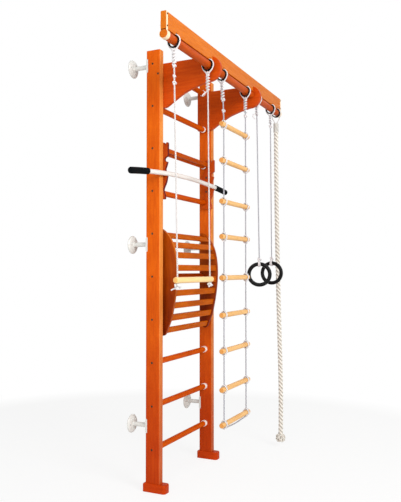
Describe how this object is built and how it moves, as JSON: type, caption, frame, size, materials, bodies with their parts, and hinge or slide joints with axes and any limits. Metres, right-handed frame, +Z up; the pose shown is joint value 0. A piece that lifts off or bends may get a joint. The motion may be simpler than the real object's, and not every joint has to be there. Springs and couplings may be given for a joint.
{
  "type": "wall bars",
  "caption": "Two orange uprights with round rungs on wall brackets, a long overhead bar on arms, rope ladder, swing, rings, climbing rope, bent grip bar and hook-on slatted back board.",
  "frame": {"origin": "on the wall plane at floor level, midway between the uprights", "axes": "+X along the rungs, to the right seen from the room; +Y into the wall; +Z up"},
  "size_m": [1.64, 0.536, 2.364],
  "materials": {
    "stained_orange": "satin stain",
    "light_orange": "satin stain",
    "stained_red": "satin stain",
    "mahogany": "satin stain",
    "natural_wood": "satin",
    "white_plastic": "matt",
    "white_enamel": "gloss enamel",
    "cream_strap": "satin enamel",
    "grip_rubber": "matt foam",
    "black_plastic": "satin",
    "white_rope": "twisted fibre",
    "steel": "zinc plated"
  },
  "bodies": {
    "frame": {"right_upright": "stained_orange", "left_upright": "stained_orange", "rung_01": "stained_orange", "rung_02": "stained_orange", "rung_03": "stained_orange", "rung_04": "stained_orange", "rung_05": "stained_orange", "rung_06": "stained_orange", "rung_07": "stained_orange", "rung_08": "stained_orange", "rung_09": "stained_orange", "rung_10": "stained_orange", "pull_up_bar": "stained_orange", "right_arm": "stained_orange", "left_arm": "stained_orange", "right_foot": "stained_orange", "left_foot": "stained_orange", "top_board": "light_orange", "rung_cups": "white_plastic", "rung_screws": "steel", "bracket_screws": "steel", "arm_screws": "steel", "strap_screws": "steel", "rack_screws": "steel", "right_upper_wall_bracket": "white_enamel", "right_middle_wall_bracket": "white_enamel", "right_lower_wall_bracket": "white_enamel", "left_upper_wall_bracket": "white_enamel", "left_middle_wall_bracket": "white_enamel", "left_lower_wall_bracket": "white_enamel", "right_strap": "cream_strap", "left_strap": "cream_strap", "right_rack_plate": "stained_red", "left_rack_plate": "stained_red", "rack_rail": "stained_red"},
    "grip_bar_unit": {"grip_bar": "white_enamel", "left_grip": "grip_rubber", "right_grip": "grip_rubber"},
    "back_board": {"right_bow_cheek": "mahogany", "left_bow_cheek": "mahogany", "bow_slats": "stained_orange"},
    "swing": {"swing_hanger_left": "black_plastic", "swing_hanger_right": "black_plastic", "swing_rope_left": "white_rope", "swing_rope_right": "white_rope", "swing_bar": "natural_wood"},
    "rope_ladder": {"ladder_hanger_left": "black_plastic", "ladder_hanger_right": "black_plastic", "ladder_rope": "white_rope", "ladder_rungs": "natural_wood"},
    "left_ring": {"ring_hanger_left": "black_plastic", "ring_rope_left": "white_rope", "gym_ring_left": "black_plastic"},
    "right_ring": {"ring_hanger_right": "black_plastic", "ring_rope_right": "white_rope", "gym_ring_right": "black_plastic"},
    "climbing_rope_unit": {"climbing_rope_hanger": "black_plastic", "climbing_rope_sling": "white_rope", "climbing_rope": "white_rope"}
  },
  "joints": [
    {"name": "grip_bar_lift_out", "type": "slide", "parent": "frame", "child": "grip_bar_unit", "axis": [0, -0.9063, 0.4226], "range_m": [0, 0.12]},
    {"name": "back_board_lift_off", "type": "slide", "parent": "frame", "child": "back_board", "axis": [0, -0.7071, 0.7071], "range_m": [0, 0.12]},
    {"name": "swing_hinge", "type": "hinge", "parent": "frame", "child": "swing", "pos_m": [-0.53, -0.459, 2.243], "axis": [-1, 0, 0], "range_deg": [-8, 50]},
    {"name": "rope_ladder_hinge", "type": "hinge", "parent": "frame", "child": "rope_ladder", "pos_m": [0.018, -0.459, 2.243], "axis": [-1, 0, 0], "range_deg": [-5, 40]},
    {"name": "left_ring_hinge", "type": "hinge", "parent": "frame", "child": "left_ring", "pos_m": [0.388, -0.459, 2.243], "axis": [-1, 0, 0], "range_deg": [-12, 60]},
    {"name": "right_ring_hinge", "type": "hinge", "parent": "frame", "child": "right_ring", "pos_m": [0.648, -0.459, 2.243], "axis": [-1, 0, 0], "range_deg": [-12, 60]},
    {"name": "climbing_rope_hinge", "type": "hinge", "parent": "frame", "child": "climbing_rope_unit", "pos_m": [0.764, -0.459, 2.243], "axis": [-1, 0, 0], "range_deg": [-8, 30]}
  ]
}
